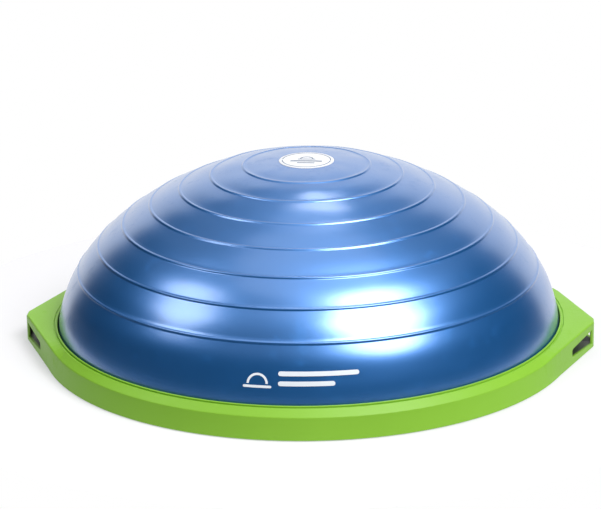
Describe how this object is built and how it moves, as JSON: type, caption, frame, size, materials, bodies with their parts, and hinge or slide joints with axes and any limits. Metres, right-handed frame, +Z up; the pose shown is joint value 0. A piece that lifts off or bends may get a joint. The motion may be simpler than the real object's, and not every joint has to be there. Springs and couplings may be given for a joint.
{
  "type": "balance dome trainer",
  "caption": "Inflatable half-ball balance trainer: an air dome with raised ring lines, clamped on a round flat platform by a rim with two grip ears.",
  "frame": {"origin": "centre of the underside, on the floor", "axes": "+Z up along the dome's axis, the two grip ears on the X axis, the front of the dome towards -Y, the air valve towards +Y"},
  "size_m": [0.65, 0.6058, 0.2176],
  "materials": {
    "rim": "satin moulded, lime green",
    "plate": "fine matt moulding grain, black",
    "dome": "glossy vinyl, pearly blue",
    "membrane": "smooth vinyl sheet, blue",
    "badge": "satin, white with blue marks",
    "grommet": "smooth, blue",
    "plug": "satin, white",
    "screw": "zinc plated",
    "foot": "matt"
  },
  "bodies": {
    "trainer": {"rim_ring": "rim", "platform_plate": "plate", "dome_skin": "dome", "dome_floor": "membrane", "top_badge": "badge", "valve_grommet": "grommet", "base_screws": "screw", "foot_1": "foot", "foot_2": "foot", "foot_3": "foot", "foot_4": "foot", "foot_5": "foot", "foot_6": "foot", "foot_7": "foot", "foot_8": "foot"},
    "plug": {"valve_plug": "plug"}
  },
  "joints": [
    {"name": "plug_pull", "type": "slide", "parent": "trainer", "child": "plug", "axis": [0, 0.9409, 0.3388], "range_m": [0, 0.025]}
  ]
}
